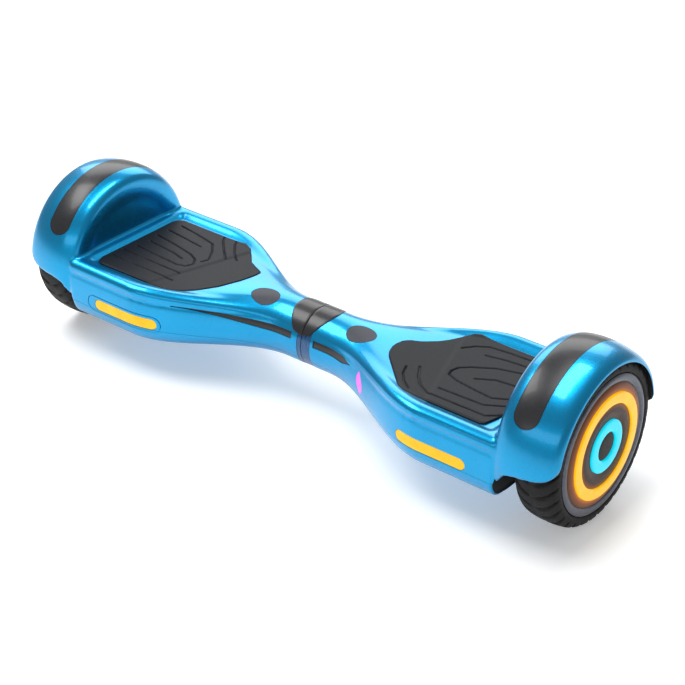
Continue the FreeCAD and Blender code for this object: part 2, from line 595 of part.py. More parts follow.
# Hub motor wheels. The axle and its wound stator stand still, and the rest turns on two bearings.
inner_cover_start = "wheel_centre - rim_width / 2"
outer_cover_start = "wheel_centre + rim_width / 2 - cover_thickness"
rotor_inside = "rim_radius - rim_wall"
magnet_inside = "rim_radius - rim_wall - magnet_thickness"
both_sides(rod("axle_solid", "x", "axle_radius",
               "wheel_centre + rim_width / 2 - cover_thickness - block_start", "block_start", "0",
               "tyre_radius"), "axle")
both_sides(ring("stator_solid", "wheel_centre - stator_width / 2", "stator_width", "axle_radius",
                "rim_radius - rim_wall - magnet_thickness - air_gap"), "stator")
both_sides(ring("magnets", "wheel_centre - stator_width / 2", "stator_width", magnet_inside, rotor_inside),
           "magnet_ring")
flange_in = f"{inner_cover_start} + flange_width"
flange_out = "wheel_centre + rim_width / 2 - flange_width"
rim_end = "wheel_centre + rim_width / 2"
flange_top = "rim_radius + flange_height"
both_sides(turned("rim", [(inner_cover_start, rotor_inside), (rim_end, rotor_inside), (rim_end, flange_top),
                          (flange_out, flange_top), (flange_out, "rim_radius"), (flange_in, "rim_radius"),
                          (flange_in, flange_top), (inner_cover_start, flange_top)]), "wheel_rim")
bearing_in_end = f"{inner_cover_start} + bearing_width"
bearing_out_start = "wheel_centre + rim_width / 2 - cover_thickness - bearing_width"
both_sides(join("bearing_pair",
                ring("bearing_in", inner_cover_start, "bearing_width", "axle_radius", "bearing_radius"),
                ring("bearing_out", bearing_out_start, "bearing_width", "axle_radius", "bearing_radius")),
           "wheel_bearings")
boss_outside = "bearing_radius + cover_thickness"
both_sides(turned("inner_cover_solid",
                  [(inner_cover_start, "bearing_radius"), (bearing_in_end, "bearing_radius"),
                   (bearing_in_end, boss_outside), (f"{inner_cover_start} + cover_thickness", boss_outside),
                   (f"{inner_cover_start} + cover_thickness", rotor_inside),
                   (inner_cover_start, rotor_inside)]), "motor_cover")
lamp_floor = "wheel_centre + rim_width / 2 + cover_thickness - lamp_seat"
cover_face = "wheel_centre + rim_width / 2 + cover_thickness"
both_sides(turned("hub_cover_solid",
                  [(bearing_out_start, "bearing_radius"), (outer_cover_start, "bearing_radius"),
                   (outer_cover_start, "0"), (lamp_floor, "0"), (lamp_floor, "centre_lamp_outer"),
                   (cover_face, "centre_lamp_outer"), (cover_face, "ring_lamp_inner"),
                   (lamp_floor, "ring_lamp_inner"), (lamp_floor, "ring_lamp_outer"),
                   (cover_face, "ring_lamp_outer"), (cover_face, "rim_radius"), (rim_end, "rim_radius"),
                   (rim_end, rotor_inside), (outer_cover_start, rotor_inside),
                   (outer_cover_start, boss_outside), (bearing_out_start, boss_outside)]), "hub_cover")
both_sides(ring("ring_lamp", lamp_floor, "lamp_height", "ring_lamp_inner", "ring_lamp_outer"),
           "hub_ring_lamp")
both_sides(ring("centre_lamp", lamp_floor, "lamp_height", "centre_lamp_inner", "centre_lamp_outer"),
           "hub_centre_lamp")
both_sides(turned("cap", [(lamp_floor, "0"), (f"{lamp_floor} + cap_height", "0"),
                          (f"{lamp_floor} + cap_height", "centre_lamp_inner"),
                          (lamp_floor, "centre_lamp_inner")]), "hub_cap")
tyre_in = "wheel_centre - tyre_width / 2"
tyre_out = "wheel_centre + tyre_width / 2"
both_sides(turned("tyre_solid",
                  [(flange_in, "rim_radius"), (flange_out, "rim_radius"), (flange_out, flange_top),
                   (tyre_out + " - 1", flange_top), (tyre_out, "rim_radius + 9"),
                   (tyre_out + " - 3", "tyre_radius - 6.5"), (tyre_out + " - 10", "tyre_radius - 1.2"),
                   ("wheel_centre", "tyre_radius"), (tyre_in + " + 10", "tyre_radius - 1.2"),
                   (tyre_in + " + 3", "tyre_radius - 6.5"), (tyre_in, "rim_radius + 9"),
                   (tyre_in + " + 1", flange_top), (flange_in, flange_top)]), "tyre")

doc.recompute()
for item in doc.Objects:
    if "Invalid" in item.State or "Error" in item.State:
        raise RuntimeError(f"{item.Name} failed: {item.State}")
for item in pieces:
    if item.Shape.isNull() or not item.Shape.isValid() or item.Shape.Volume < 1:
        raise RuntimeError(f"{item.Label} has no valid solid")
os.makedirs("parts", exist_ok=True)
for item in pieces:
    item.Shape.exportStep(f"parts/{item.Label}.step")
print(len(pieces), "sub-parts written")
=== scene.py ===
import math

import bpy
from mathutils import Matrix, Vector


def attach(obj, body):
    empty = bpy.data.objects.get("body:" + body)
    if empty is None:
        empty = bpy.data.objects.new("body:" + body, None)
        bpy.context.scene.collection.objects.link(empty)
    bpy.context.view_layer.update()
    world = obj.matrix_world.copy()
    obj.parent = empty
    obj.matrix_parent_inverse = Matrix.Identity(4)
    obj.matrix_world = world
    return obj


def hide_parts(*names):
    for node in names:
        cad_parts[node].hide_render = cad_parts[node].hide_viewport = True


# Self balancing board with two twisting halves. Lengths are in millimetres until a mesh is written.
# X runs along the axle line, the front is -Y, +Z is up, and the ground is z = 0.

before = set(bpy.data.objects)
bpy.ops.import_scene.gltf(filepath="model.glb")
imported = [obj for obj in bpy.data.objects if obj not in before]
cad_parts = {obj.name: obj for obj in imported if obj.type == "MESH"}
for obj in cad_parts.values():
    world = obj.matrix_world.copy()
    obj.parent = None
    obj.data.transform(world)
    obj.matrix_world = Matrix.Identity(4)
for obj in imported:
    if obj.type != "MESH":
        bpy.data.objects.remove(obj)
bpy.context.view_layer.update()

# Studio: a pale floor under a soft box, with a wide panel behind on the left, a small box on the left
# and a strip in front. The camera looks down on the front and the right wheel.

bpy.ops.object.select_all(action="DESELECT")
bpy.ops.mesh.primitive_plane_add(size=16, location=(0, 0, 0))
floor = bpy.context.object
floor.name = "studio_floor"
floor_paper = bpy.data.materials.new("pale_paper")
floor_paper.use_nodes = True
paper_shader = floor_paper.node_tree.nodes["Principled BSDF"]
paper_shader.inputs["Base Color"].default_value = (0.90, 0.90, 0.90, 1)
paper_shader.inputs["Roughness"].default_value = 0.9
paper_shader.inputs["Specular IOR Level"].default_value = 0.1
paper_shader.inputs["Emission Color"].default_value = (1, 1, 1, 1)
paper_shader.inputs["Emission Strength"].default_value = 0.30
floor.data.materials.append(floor_paper)
BOARD_MIDDLE = Vector((0, 0, 0.08))


def soft_box(name, place, width, height, watts):
    """White rectangular light that faces the board."""
    bpy.ops.object.light_add(type="AREA", location=place)
    lamp = bpy.context.object
    lamp.name = name
    lamp.data.shape = "RECTANGLE"
    lamp.data.size = width
    lamp.data.size_y = height
    lamp.data.energy = watts
    lamp.rotation_euler = (BOARD_MIDDLE - Vector(place)).to_track_quat("-Z", "Y").to_euler()


soft_box("overhead_box", (0.1, 0.0, 1.5), 1.3, 0.35, 13)
soft_box("far_panel", (-1.25, 1.75, 1.35), 2.6, 1.3, 30)
soft_box("left_box", (-1.0, -0.3, 1.4), 0.9, 0.55, 12)
soft_box("front_strip", (0.2, -1.7, 0.75), 2.0, 0.35, 4)

studio = bpy.data.worlds.new("studio_air")
studio.use_nodes = True
studio.node_tree.nodes["Background"].inputs["Color"].default_value = (0.95, 0.98, 1, 1)
studio.node_tree.nodes["Background"].inputs["Strength"].default_value = 0.36
bpy.context.scene.world = studio
bpy.context.scene.view_settings.view_transform = "Standard"

CAMERA_TURN = math.radians(39.45)
CAMERA_RISE = math.radians(30.07)
CAMERA_RANGE = 1.74
back = Vector((math.sin(CAMERA_TURN) * math.cos(CAMERA_RISE),
               -math.cos(CAMERA_TURN) * math.cos(CAMERA_RISE), math.sin(CAMERA_RISE)))
bpy.ops.object.camera_add(location=BOARD_MIDDLE + back * CAMERA_RANGE)
camera = bpy.context.object
camera.rotation_euler = (-back).to_track_quat("-Z", "Y").to_euler()
camera.data.lens = 92.1
camera.data.sensor_width = 36
camera.data.shift_x = 0.0322
camera.data.shift_y = -0.0169
camera.data.clip_start = 0.05
bpy.context.scene.camera = camera

# Blank of one half: a thin-walled moulding, round in the neck and widening into a foot deck with a
# raised rim, and a rounded fender that grows out of its wheel end. It is shaped as a solid first.

MM = 0.001
SIDES = {"right": 1, "left": -1}
NECK_RADIUS = 31.3
NECK_LEVEL = 75.0
AXLE_LEVEL = 82.5
FLARE_START = 27.0
FLARE_LENGTH = 158.0
SEAM = 0.4
DECK_END = 266.0
LAPS = 16
# Half cross-section of the deck from the middle of the floor over the rim to the middle of the belly.
DECK_SECTION = [(0, 99.6), (30, 99.6), (58, 99.6), (65, 99.9), (69.5, 101.8), (74.5, 104.4), (80.5, 104.6),
                (85.8, 101.2), (87.2, 95.6), (84.6, 91.0), (86.6, 86.5), (87.2, 72), (86.0, 56), (78, 43),
                (60, 38.8), (30, 38.8), (0, 38.8)]
# The same points round the neck, as angles above the front.
NECK_ANGLES = [90, 80, 71, 62, 55, 48, 42, 36, 31, 26, 20, 2, -20, -42, -62, -78, -90]
# Number of the point that is drawn in as a crease under the shoulder, and how far.
CREASE = 9
CREASE_DEPTH = 0.8
RIDGE_START = 249.0
RIDGE_LENGTH = 9.0
RIDGE_TOP = 104.6


def eased(value):
    """0 below 0, 1 above 1, and a soft ramp between."""
    value = min(max(value, 0.0), 1.0)
    return value * value * (3 - 2 * value)


def curve_through(points, share):
    """Point on a smooth curve through points, which share counts from 0."""
    index = min(int(share), len(points) - 2)
    step = share - index
    before = points[max(index - 1, 0)]
    after = points[min(index + 2, len(points) - 1)]
    return tuple(0.5 * (2 * b + (c - a) * step + (2 * a - 5 * b + 4 * c - d) * step ** 2
                        + (3 * b - a - 3 * c + d) * step ** 3)
                 for a, b, c, d in zip(before, points[index], points[index + 1], after))


def section_at(x):
    """Control points of the half cross-section at x, with one more past each end of it."""
    share = eased((x - FLARE_START) / FLARE_LENGTH)
    ridge = eased((x - RIDGE_START) / RIDGE_LENGTH)
    points = []
    for number, ((depth, level), angle) in enumerate(zip(DECK_SECTION, NECK_ANGLES)):
        if number < 5:
            level += ridge * (RIDGE_TOP - level)
        turn = math.radians(angle)
        radius = NECK_RADIUS - (CREASE_DEPTH if number == CREASE else 0)
        neck = (radius * math.cos(turn), NECK_LEVEL + radius * math.sin(turn))
        points.append((neck[0] + share * (depth - neck[0]), neck[1] + share * (level - neck[1])))
    points[0] = (0, points[0][1])
    points[-1] = (0, points[-1][1])
    return [(-points[1][0], points[1][1])] + points + [(-points[-2][0], points[-2][1])]


def skin_point(x, lap, lift=0.0):
    """Point on the skin of the right half. A lap of 0 is the middle of the top and 16 of the belly."""
    reach = abs(lap)
    points = section_at(x)
    depth, level = curve_through(points, 1 + reach)
    ahead = curve_through(points, 1 + min(reach + 0.05, LAPS))
    behind = curve_through(points, 1 + max(reach - 0.05, 0))
    along, down = ahead[0] - behind[0], ahead[1] - behind[1]
    length = math.hypot(along, down)
    depth -= lift * down / length
    level += lift * along / length
    return (x, depth if lap > 0 else -depth, level)


def formed_grid(name, along, around, form, closed=True):
    """Grid whose points are moved to form(u, v), joined where they meet, with its holes filled."""
    bpy.ops.object.select_all(action="DESELECT")
    bpy.ops.mesh.primitive_grid_add(x_subdivisions=along, y_subdivisions=around, size=2)
    piece = bpy.context.object
    piece.name = name
    for vertex in piece.data.vertices:
        vertex.co = Vector(form((vertex.co.x + 1) / 2, (vertex.co.y + 1) / 2)) * MM
    bpy.ops.object.mode_set(mode="EDIT")
    bpy.ops.mesh.select_all(action="SELECT")
    bpy.ops.mesh.remove_doubles(threshold=2e-6)
    if closed:
        bpy.ops.mesh.fill_holes(sides=0)
        bpy.ops.mesh.select_all(action="SELECT")
        bpy.ops.mesh.normals_make_consistent(inside=False)
    bpy.ops.object.mode_set(mode="OBJECT")
    return piece


def turned(name, profile, steps=96, rows=0):
    """Solid turned about the axle line of the right wheel, from (x, radius) points."""
    count = rows or len(profile) - 1

    def form(u, v):
        x, radius = curve_through(profile, v * (len(profile) - 1)) if rows else profile[round(v * count)]
        angle = 2 * math.pi * u
        return x, radius * math.cos(angle), AXLE_LEVEL + radius * math.sin(angle)

    return formed_grid(name, steps, count, form)


def apply_modifier(piece, kind, **settings):
    """Add a modifier with these settings and apply it."""
    bpy.ops.object.select_all(action="DESELECT")
    bpy.context.view_layer.objects.active = piece
    piece.select_set(True)
    modifier = piece.modifiers.new(kind.lower(), kind)
    for setting, value in settings.items():
        setattr(modifier, setting, value)
    bpy.ops.object.modifier_apply(modifier=modifier.name)


def carve(piece, tool, operation="DIFFERENCE"):
    """Cut a piece with a tool, or join or intersect them, and remove the tool."""
    apply_modifier(piece, "BOOLEAN", operation=operation, object=tool, solver="MANIFOLD")
    bpy.data.objects.remove(tool)


def copied(piece, name):
    duplicate = piece.copy()
    duplicate.data = piece.data.copy()
    duplicate.name = name
    bpy.context.collection.objects.link(duplicate)
    return duplicate


def skin_solid(name, sign, start, end, lift, along, around):
    """Solid between two x, whose side is the skin moved out by lift."""
    def form(u, v):
        x, depth, level = skin_point(start + u * (end - start), LAPS * (2 * v - 1) if v > 0 else LAPS, lift)
        return sign * x, depth, level

    return formed_grid(name, along, around, form)


# Outside of the fender as (x, radius) from the dish on the deck's side, over the top, to the lip.
FENDER_PROFILE = [(264.2, 0), (264.2, 30), (264.1, 54), (263.6, 60), (262.6, 65), (262.1, 69), (262, 74),
                  (262.4, 79), (264.6, 83.4), (269.5, 87), (279, 90.2), (293, 91.4), (307, 90.5),
                  (318, 88.4), (325, 86), (329, 83), (330.4, 80), (330, 77.8), (328.6, 77.2), (328.6, 50),
                  (328.6, 0)]
# Lower edge of the fender as (x, level): it rises out of the deck's end and rounds up into the lip.
FENDER_HEM = [(255, 46), (262, 52), (267.5, 60), (272.5, 67), (278, 74.5), (285, 78.8), (300, 81.4),
              (312, 83), (319, 85), (324.5, 88.6), (328.5, 94), (331, 103), (336, 122)]

blank = skin_solid("half_blank", 1, SEAM, DECK_END, 0, 120, 12 * LAPS)
fender = turned("fender_blank", FENDER_PROFILE, 144, 80)
hem = [curve_through(FENDER_HEM, step / 4) for step in range(4 * len(FENDER_HEM) - 3)]
below_hem = [(255, -20)] + hem + [(345, 122), (345, -20), (255, -20)]


def hem_form(u, v):
    x, level = below_hem[round(v * (len(below_hem) - 1))]
    return x, -120 + 240 * u, level


carve(fender, formed_grid("below_hem", 2, len(below_hem) - 1, hem_form))
bpy.ops.object.select_all(action="DESELECT")
fender.select_set(True)
blank.select_set(True)
bpy.context.view_layer.objects.active = blank
bpy.ops.object.join()
apply_modifier(blank, "REMESH", mode="VOXEL", voxel_size=0.0017)
apply_modifier(blank, "SMOOTH", factor=0.5, iterations=7)


def mirrored_copy(piece, name, sign):
    """The same piece, turned over to the left for a sign of -1."""
    duplicate = copied(piece, name)
    if sign < 0:
        for vertex in duplicate.data.vertices:
            vertex.co.x = -vertex.co.x
        duplicate.data.flip_normals()
    return duplicate


def between_layers(name, steps, rows, place, low, high):
    """Closed solid between two layers of place(u, v, layer)."""
    loop = 2 * rows + 2

    def form(u, v):
        index = round(v * loop) % loop
        if index <= rows:
            return place(u, index / rows, high)
        return place(u, (loop - 1 - index) / rows, low)

    return formed_grid(name, steps, loop, form)


def rounded_bar(u, half_length, half_width):
    """Place along a bar with round ends, and its half width there."""
    run = -half_length * math.cos(math.pi * u)
    past = max(abs(run) - half_length + half_width, 0) / half_width
    return run, half_width * math.sqrt(max(1 - past * past, 0))


def across(x, low, high):
    """Straight run between (x, value) points."""
    low_x, low_value = low
    high_x, high_value = high
    return low_value + (high_value - low_value) * (x - low_x) / (high_x - low_x)


def along_runs(points, x):
    """Value at x of straight runs through (x, value) points, held past both ends."""
    if x <= points[0][0]:
        return points[0][1]
    for low, high in zip(points, points[1:]):
        if x <= high[0]:
            return across(x, low, high)
    return points[-1][1]


def bar(name, place, size):
    """Plain block by its middle and size, as a tool."""
    bpy.ops.object.select_all(action="DESELECT")
    bpy.ops.mesh.primitive_cube_add(size=MM, location=[MM * value for value in place])
    block = bpy.context.object
    block.name = name
    bpy.ops.transform.resize(value=size)
    bpy.ops.object.transform_apply(location=True, rotation=True, scale=True)
    return block


def drill(name, place, radius, length, axis="Z"):
    """Round tool that starts at a place and runs along +X, +Y or +Z."""
    turn = {"X": (0, math.pi / 2, 0), "Y": (-math.pi / 2, 0, 0), "Z": (0, 0, 0)}[axis]
    run = {"X": (1, 0, 0), "Y": (0, 1, 0), "Z": (0, 0, 1)}[axis]
    middle = [MM * (start + step * length / 2) for start, step in zip(place, run)]
    bpy.ops.object.select_all(action="DESELECT")
    bpy.ops.mesh.primitive_cylinder_add(vertices=48, radius=radius * MM, depth=length * MM,
                                        location=middle, rotation=turn)
    tool = bpy.context.object
    tool.name = name
    bpy.ops.object.transform_apply(location=True, rotation=True, scale=True)
    return tool


# Insides and openings of both halves. The wall is 3 mm, the wheel arch is open to the wheel, screw
# posts stand on the lower shell, and each inlay has a shallow seat with a hairline gap round it.

WALL = 3.0
# Inside of the wheel arch as (x, radius).
ARCH_PROFILE = [(266.6, 0), (266.6, 76), (268, 79.5), (270.5, 82.2), (277, 85.4), (285, 87), (293, 87.6),
                (307, 87), (317, 85.6), (323, 84.4), (325.6, 83.4), (327, 82), (327.8, 80.4),
                (329, 79.6), (345, 79.6), (345, 0)]
# Screw posts as (x, depth, height of the foot).
POST_TOP = 95
POST_RADIUS = 5
SHANK_RADIUS = 1.7
SHANK_LENGTH = 48
HEAD_RADIUS = 3.4
HEAD_LENGTH = 22
SCREWS_BELOW = 30
POST_PLACES = [(120, 50, 46.5), (120, -50, 46.5), (244, 63, 41), (244, -63, 41)]
PARTING = 60.0
STRIP_MIDDLE = 290.0
STRIP_HALF_WIDTH = 13.0
STRIP_RADIUS = 91
STRIP_HALF_RUN = math.radians(62) * STRIP_RADIUS
STRIP_BED = 89.3
STRIP_UNDERSIDE = 89.4
ABOVE_STRIP = 96
WINDOW_MIDDLE = (61.0, -12.0)
WINDOW_HALF = (16.0, 12.0)
LIGHT_MIDDLE = {"right": 197.0, "left": 190.0}
LIGHT_LEVEL = 66.8
LIGHT_HALF = (40, 5.6)
LIGHT_GAP = 0.6
PLATE_MIDDLE = 193
PLATE_HALF = (48, 9.3)
PLATE_LINE = 0.8
# Below and above the skin: a seat, the inlay in it, and the shallower accent light.
SEAT_DEPTH = 2.4
INLAY_DEPTH = 2.3
ACCENT_SEAT_DEPTH = 2.0
ACCENT_DEPTH = 1.9
MAT_SEAT_DEPTH = 1.2
MAT_GAP = 0.7
GAP = 0.35
SLOT_GAP = 0.2
SLOT_RECESS = 0.9
TRIGGER_MIDDLE = 190
TRIGGER_OFFSET = 30
TRIGGER_HOLE = (66.6, 36.6, 10)
SOCKET_X = 165
SOCKET_RADIUS = 8.1
BUTTON_X = 205
BUTTON_RADIUS = 7.3
PORT_LEVEL = 70
AXLE_HOLE_RADIUS = 9
# Half of the hairline between the upper and the lower shell.
PARTING_GAP = 0.15
SHELL_ROOM = (380, 220, 200)


# Each place function below gives a point of an outline, grown by a little, for between_layers.
def strip_place(sign, grow):
    def place(u, v, radius):
        run, half = rounded_bar(u, STRIP_HALF_RUN + grow, STRIP_HALF_WIDTH + grow)
        angle = math.pi / 2 + run / STRIP_RADIUS
        return (sign * (STRIP_MIDDLE + (2 * v - 1) * half), radius * math.cos(angle),
                AXLE_LEVEL + radius * math.sin(angle))
    return place


skin_rows = {}


def skin_row(x):
    """Points down the skin at x, from the middle of the top to the middle of the belly."""
    key = round(x, 3)
    if key not in skin_rows:
        skin_rows[key] = [skin_point(x, lap * 0.25 + 1e-6)[1:] for lap in range(4 * LAPS + 1)]
    return skin_rows[key]


def floor_level(x, depth):
    """Height of the top of the skin at a depth from its middle."""
    return along_runs(skin_row(x)[:4 * 6 + 1], abs(depth))


def side_depth(x, level):
    """Depth of the side of the skin at a level, below its shoulder."""
    side_row = [(height, depth) for depth, height in reversed(skin_row(x)[4 * 6:4 * 13 + 1])]
    return along_runs(side_row, level)


def window_place(sign, grow):
    def place(u, v, lift):
        x = WINDOW_MIDDLE[0] - (WINDOW_HALF[0] + grow) * math.cos(math.pi * u)
        depth = WINDOW_MIDDLE[1] + (2 * v - 1) * (WINDOW_HALF[1] + grow) * math.sin(math.pi * u)
        return sign * x, depth, floor_level(x, depth) + lift
    return place


def light_place(sign, half_length, half_height, middle):
    """Bar with round ends on the front of the deck."""
    def place(u, v, lift):
        run, half = rounded_bar(u, half_length, half_height)
        depth = abs(skin_point(middle + run, 11)[1]) + lift
        return sign * (middle + run), -depth, LIGHT_LEVEL + (2 * v - 1) * half
    return place


# The slot as its run in x, the length over which its end fades, and its middle, which climbs with x. The dark
# strip is partly painted shade of the crease under the shoulder, and the left one runs on, fading, as painted
# shade under the rim bead.
SLOT_RUN = {"right": (15, 68), "left": (13, 136)}
SLOT_SHADE_FADE = {"right": 14, "left": 96}
SLOT_HALF = 3.3
SLOT_LEVEL = 83.6
SLOT_CLIMB = 7.2
SLOT_CLIMB_START = 45
SLOT_CLIMB_RUN = 90


def slot_place(side, sign, grow):
    start, end = SLOT_RUN[side]

    def place(u, v, lift):
        x = start - grow + u * (end - start + 2 * grow)
        taper = 1 - 0.9 * eased((x - end + SLOT_SHADE_FADE[side]) / SLOT_SHADE_FADE[side])
        level = SLOT_LEVEL + SLOT_CLIMB * eased((x - SLOT_CLIMB_START) / SLOT_CLIMB_RUN)
        level += (2 * v - 1) * (SLOT_HALF * taper + grow)
        return sign * x, -side_depth(x, level) - lift, level
    return place


ACCENT_TOP = 87.6
ACCENT_HEIGHT = 22
ACCENT_X = 85.5
ACCENT_LEAN = 4
ACCENT_HALF_WIDTH = 5.0
ACCENT_TIP = 0.3


def accent_place(sign, grow):
    """Pointed oval in the front corner, which leans outward as it goes down."""
    def place(u, v, lift):
        half = ACCENT_TIP + (ACCENT_HALF_WIDTH + grow) * math.sin(math.pi * u) ** 0.8
        level = ACCENT_TOP + grow - u * (ACCENT_HEIGHT + 2 * grow)
        x = ACCENT_X + ACCENT_LEAN * u + (2 * v - 1) * half
        return sign * x, -side_depth(x, level) - lift, level
    return place


# How far the saddle cover reaches from the seam, by its angle above the front or the rear.
COVER_REACH = {"right": [(24, 2), (27, 8), (40, 12.8), (58, 18.6), (74, 22.2), (90, 23.8)],
               "left": [(24, 4), (28, 12), (38, 16), (50, 19.7), (63, 22.8), (76, 24.4), (90, 24.2)]}
COVER_START = math.radians(24)


def cover_place(side, sign, grow):
    def place(u, v, radius):
        spare = grow / NECK_RADIUS
        angle = COVER_START - spare + u * (math.pi - 2 * COVER_START + 2 * spare)
        steepness = 90 - abs(math.degrees(angle) - 90)
        reach = along_runs(COVER_REACH[side], steepness) + grow
        x = SEAM - grow * 2 + v * (reach - SEAM + grow * 2)
        return sign * x, -radius * math.cos(angle), NECK_LEVEL + radius * math.sin(angle)
    return place


BAND_REACH = {"right": 11.0, "left": 5.0}


def band_tool(name, side, sign, inner, outer, grow):
    """Ring round the neck under the saddle cover."""
    def form(u, v):
        angle = 2 * math.pi * u
        corner = round(v * 4) % 4
        x = (SEAM - 2 * grow) if corner in (0, 3) else BAND_REACH[side] + grow
        radius = inner if corner < 2 else outer
        return sign * x, radius * math.cos(angle), NECK_LEVEL + radius * math.sin(angle)
    return formed_grid(name, 96, 4, form)


# Outline of each foot mat as (x, depth) runs of its front and its rear edge.
MAT_START = 97.5
MAT_END = 251.0
MAT_FRONT = {
    "right": [(97.5, -9), (99, -17), (104, -25), (143, -61), (150, -64), (236, -64),
              (240, -61), (246, -37), (250.5, -14)],
    "left": [(97.5, 15), (99, 6), (102, -5), (112, -27), (124, -43), (134, -53), (144, -59.5),
             (154, -63), (243, -64), (247.5, -62), (250, -58.5), (251, -53)]}
MAT_REAR = {
    "right": [(97.5, -3), (99, 5), (103, 10), (112, 15.5), (124, 28), (131, 39), (137, 52), (143, 60.5),
              (150, 63.5), (243, 63.5), (247.5, 61.5), (250, 58), (251, 53)],
    "left": [(97.5, 21), (99.5, 24), (110, 29), (121, 35), (131, 46), (143, 58), (154, 63),
             (243, 63.5), (247.5, 61.5), (250, 58), (251, 53)]}


def mat_place(side, sign, grow):
    def place(u, v, lift):
        x = MAT_START - grow + u * (MAT_END - MAT_START + 2 * grow)
        front = along_runs(MAT_FRONT[side], x) - grow
        rear = along_runs(MAT_REAR[side], x) + grow
        depth = front + v * (rear - front)
        return sign * x, depth, floor_level(x, depth) + lift
    return place


def two_slots(piece):
    for _ in range(2):
        piece.data.materials.append(None)


def black_faced(tool):
    """Mark every face of a tool for the black lining, which the faces that it cuts take over."""
    two_slots(tool)
    for face in tool.data.polygons:
        face.material_index = 1
    return tool


shells = {}
blanks = {}
linings = {}
arch_blank = turned("arch", ARCH_PROFILE, 144)
for side, sign in SIDES.items():
    shell = mirrored_copy(blank, f"{side}_upper_shell", sign)
    blanks[side] = mirrored_copy(blank, f"{side}_blank", sign)
    arch = mirrored_copy(arch_blank, "arch_tool", sign)
    two_slots(shell)
    carve(shell, black_faced(arch))
    carve(shell, black_faced(skin_solid("deck_end", sign, DECK_END - 1, DECK_END + 4, -2, 2, 8 * LAPS)))
    carve(shell, skin_solid("cavity", sign, -1, 262, -WALL, 60, 8 * LAPS))
    for x, depth, foot in POST_PLACES:
        carve(shell, drill("post", (sign * x, depth, foot), POST_RADIUS, POST_TOP - foot), "UNION")
    for x, depth, _ in POST_PLACES:
        below = (sign * x, depth, SCREWS_BELOW)
        carve(shell, drill("shank", below, SHANK_RADIUS, SHANK_LENGTH))
        carve(shell, drill("head_bore", below, HEAD_RADIUS, HEAD_LENGTH))
    carve(shell, between_layers("strip_seat", 96, 10, strip_place(sign, GAP), STRIP_BED, ABOVE_STRIP))
    carve(shell, between_layers("window_seat", 40, 16, window_place(sign, GAP), -SEAT_DEPTH, 6))
    carve(shell, between_layers("slot_seat", 80, 4, slot_place(side, sign, SLOT_GAP), -SEAT_DEPTH, 3))
    carve(shell, between_layers("mat_seat", 90, 40, mat_place(side, sign, MAT_GAP), -MAT_SEAT_DEPTH, 12))
    for depth in (-TRIGGER_OFFSET, TRIGGER_OFFSET):
        carve(shell, bar("trigger_hole", (sign * TRIGGER_MIDDLE, depth, 96), TRIGGER_HOLE))
    carve(shell, drill("axle_hole", (sign * 264 - 10, 0, AXLE_LEVEL), AXLE_HOLE_RADIUS, 20, "X"))
    carve(shell, between_layers("cover_seat", 60, 6, cover_place(side, sign, GAP), 29.6, 40))
    carve(shell, band_tool("band_seat", side, sign, 30.4, 40, GAP))
    length, height = PLATE_HALF
    if side == "left":
        plate_line = between_layers("plate_line", 60, 6, light_place(sign, length, height, PLATE_MIDDLE),
                                    -1.3, 6)
        plate = between_layers("plate_tool", 60, 6, light_place(sign, length - PLATE_LINE,
                                                                height - PLATE_LINE, PLATE_MIDDLE), -2.5, 9)
        carve(plate_line, plate)
        carve(shell, plate_line)
    length, height = LIGHT_HALF
    carve(shell, between_layers("light_seat", 60, 6, light_place(sign, length + LIGHT_GAP, height + LIGHT_GAP,
                                                                 LIGHT_MIDDLE[side]), -SEAT_DEPTH, 8))
    if side == "right":
        carve(shell, between_layers("accent_seat", 24, 4, accent_place(sign, GAP), -ACCENT_SEAT_DEPTH, 4))
        carve(shell, drill("socket_hole", (SOCKET_X, 60, PORT_LEVEL), SOCKET_RADIUS, 40, "Y"))
        carve(shell, drill("button_hole", (BUTTON_X, 60, PORT_LEVEL), BUTTON_RADIUS, 40, "Y"))
    lower = copied(shell, f"{side}_lower_shell")
    carve(shell, bar("above_parting", (sign * 180, 0, PARTING + PARTING_GAP + 100), SHELL_ROOM), "INTERSECT")
    carve(lower, bar("below_parting", (sign * 180, 0, PARTING - PARTING_GAP - 100), SHELL_ROOM), "INTERSECT")
    shells[side] = (shell, lower)
    for piece in shells[side]:
        linings[piece.name] = [min(face.material_index, 1) for face in piece.data.polygons]
bpy.data.objects.remove(blank)
bpy.data.objects.remove(arch_blank)

# Paint of the mouldings: a metallic cyan-blue basecoat with fine flake, under a smooth clear coat.


def new_finish(name):
    """Empty material with its shader and a place for its nodes."""
    finish = bpy.data.materials.new(name)
    finish.use_nodes = True
    return finish, finish.node_tree, finish.node_tree.nodes["Principled BSDF"]


def grain(tree, scale, detail=3.0, stretch=(1, 1, 1)):
    """Noise over the piece, with its grain size set in metres."""
    place = tree.nodes.new("ShaderNodeTexCoord")
    turn = tree.nodes.new("ShaderNodeMapping")
    turn.inputs["Scale"].default_value = stretch
    noise = tree.nodes.new("ShaderNodeTexNoise")
    noise.inputs["Scale"].default_value = 1 / scale
    noise.inputs["Detail"].default_value = detail
    tree.links.new(place.outputs["Object"], turn.inputs["Vector"])
    tree.links.new(turn.outputs["Vector"], noise.inputs["Vector"])
    return noise


def shades(tree, source, target, dark, light):
    """Colours or greys of a target socket that follow a texture."""
    ramp = tree.nodes.new("ShaderNodeValToRGB")
    ramp.color_ramp.elements[0].position = 0.35
    ramp.color_ramp.elements[1].position = 0.65
    ramp.color_ramp.elements[0].color = (*dark, 1)
    ramp.color_ramp.elements[1].color = (*light, 1)
    tree.links.new(source, ramp.inputs["Fac"])
    tree.links.new(ramp.outputs["Color"], target)


def relief(tree, shader, source, strength, distance):
    """Small bumps that follow a texture."""
    bump = tree.nodes.new("ShaderNodeBump")
    bump.inputs["Strength"].default_value = strength
    bump.inputs["Distance"].default_value = distance
    tree.links.new(source, bump.inputs["Height"])
    tree.links.new(bump.outputs["Normal"], shader.inputs["Normal"])


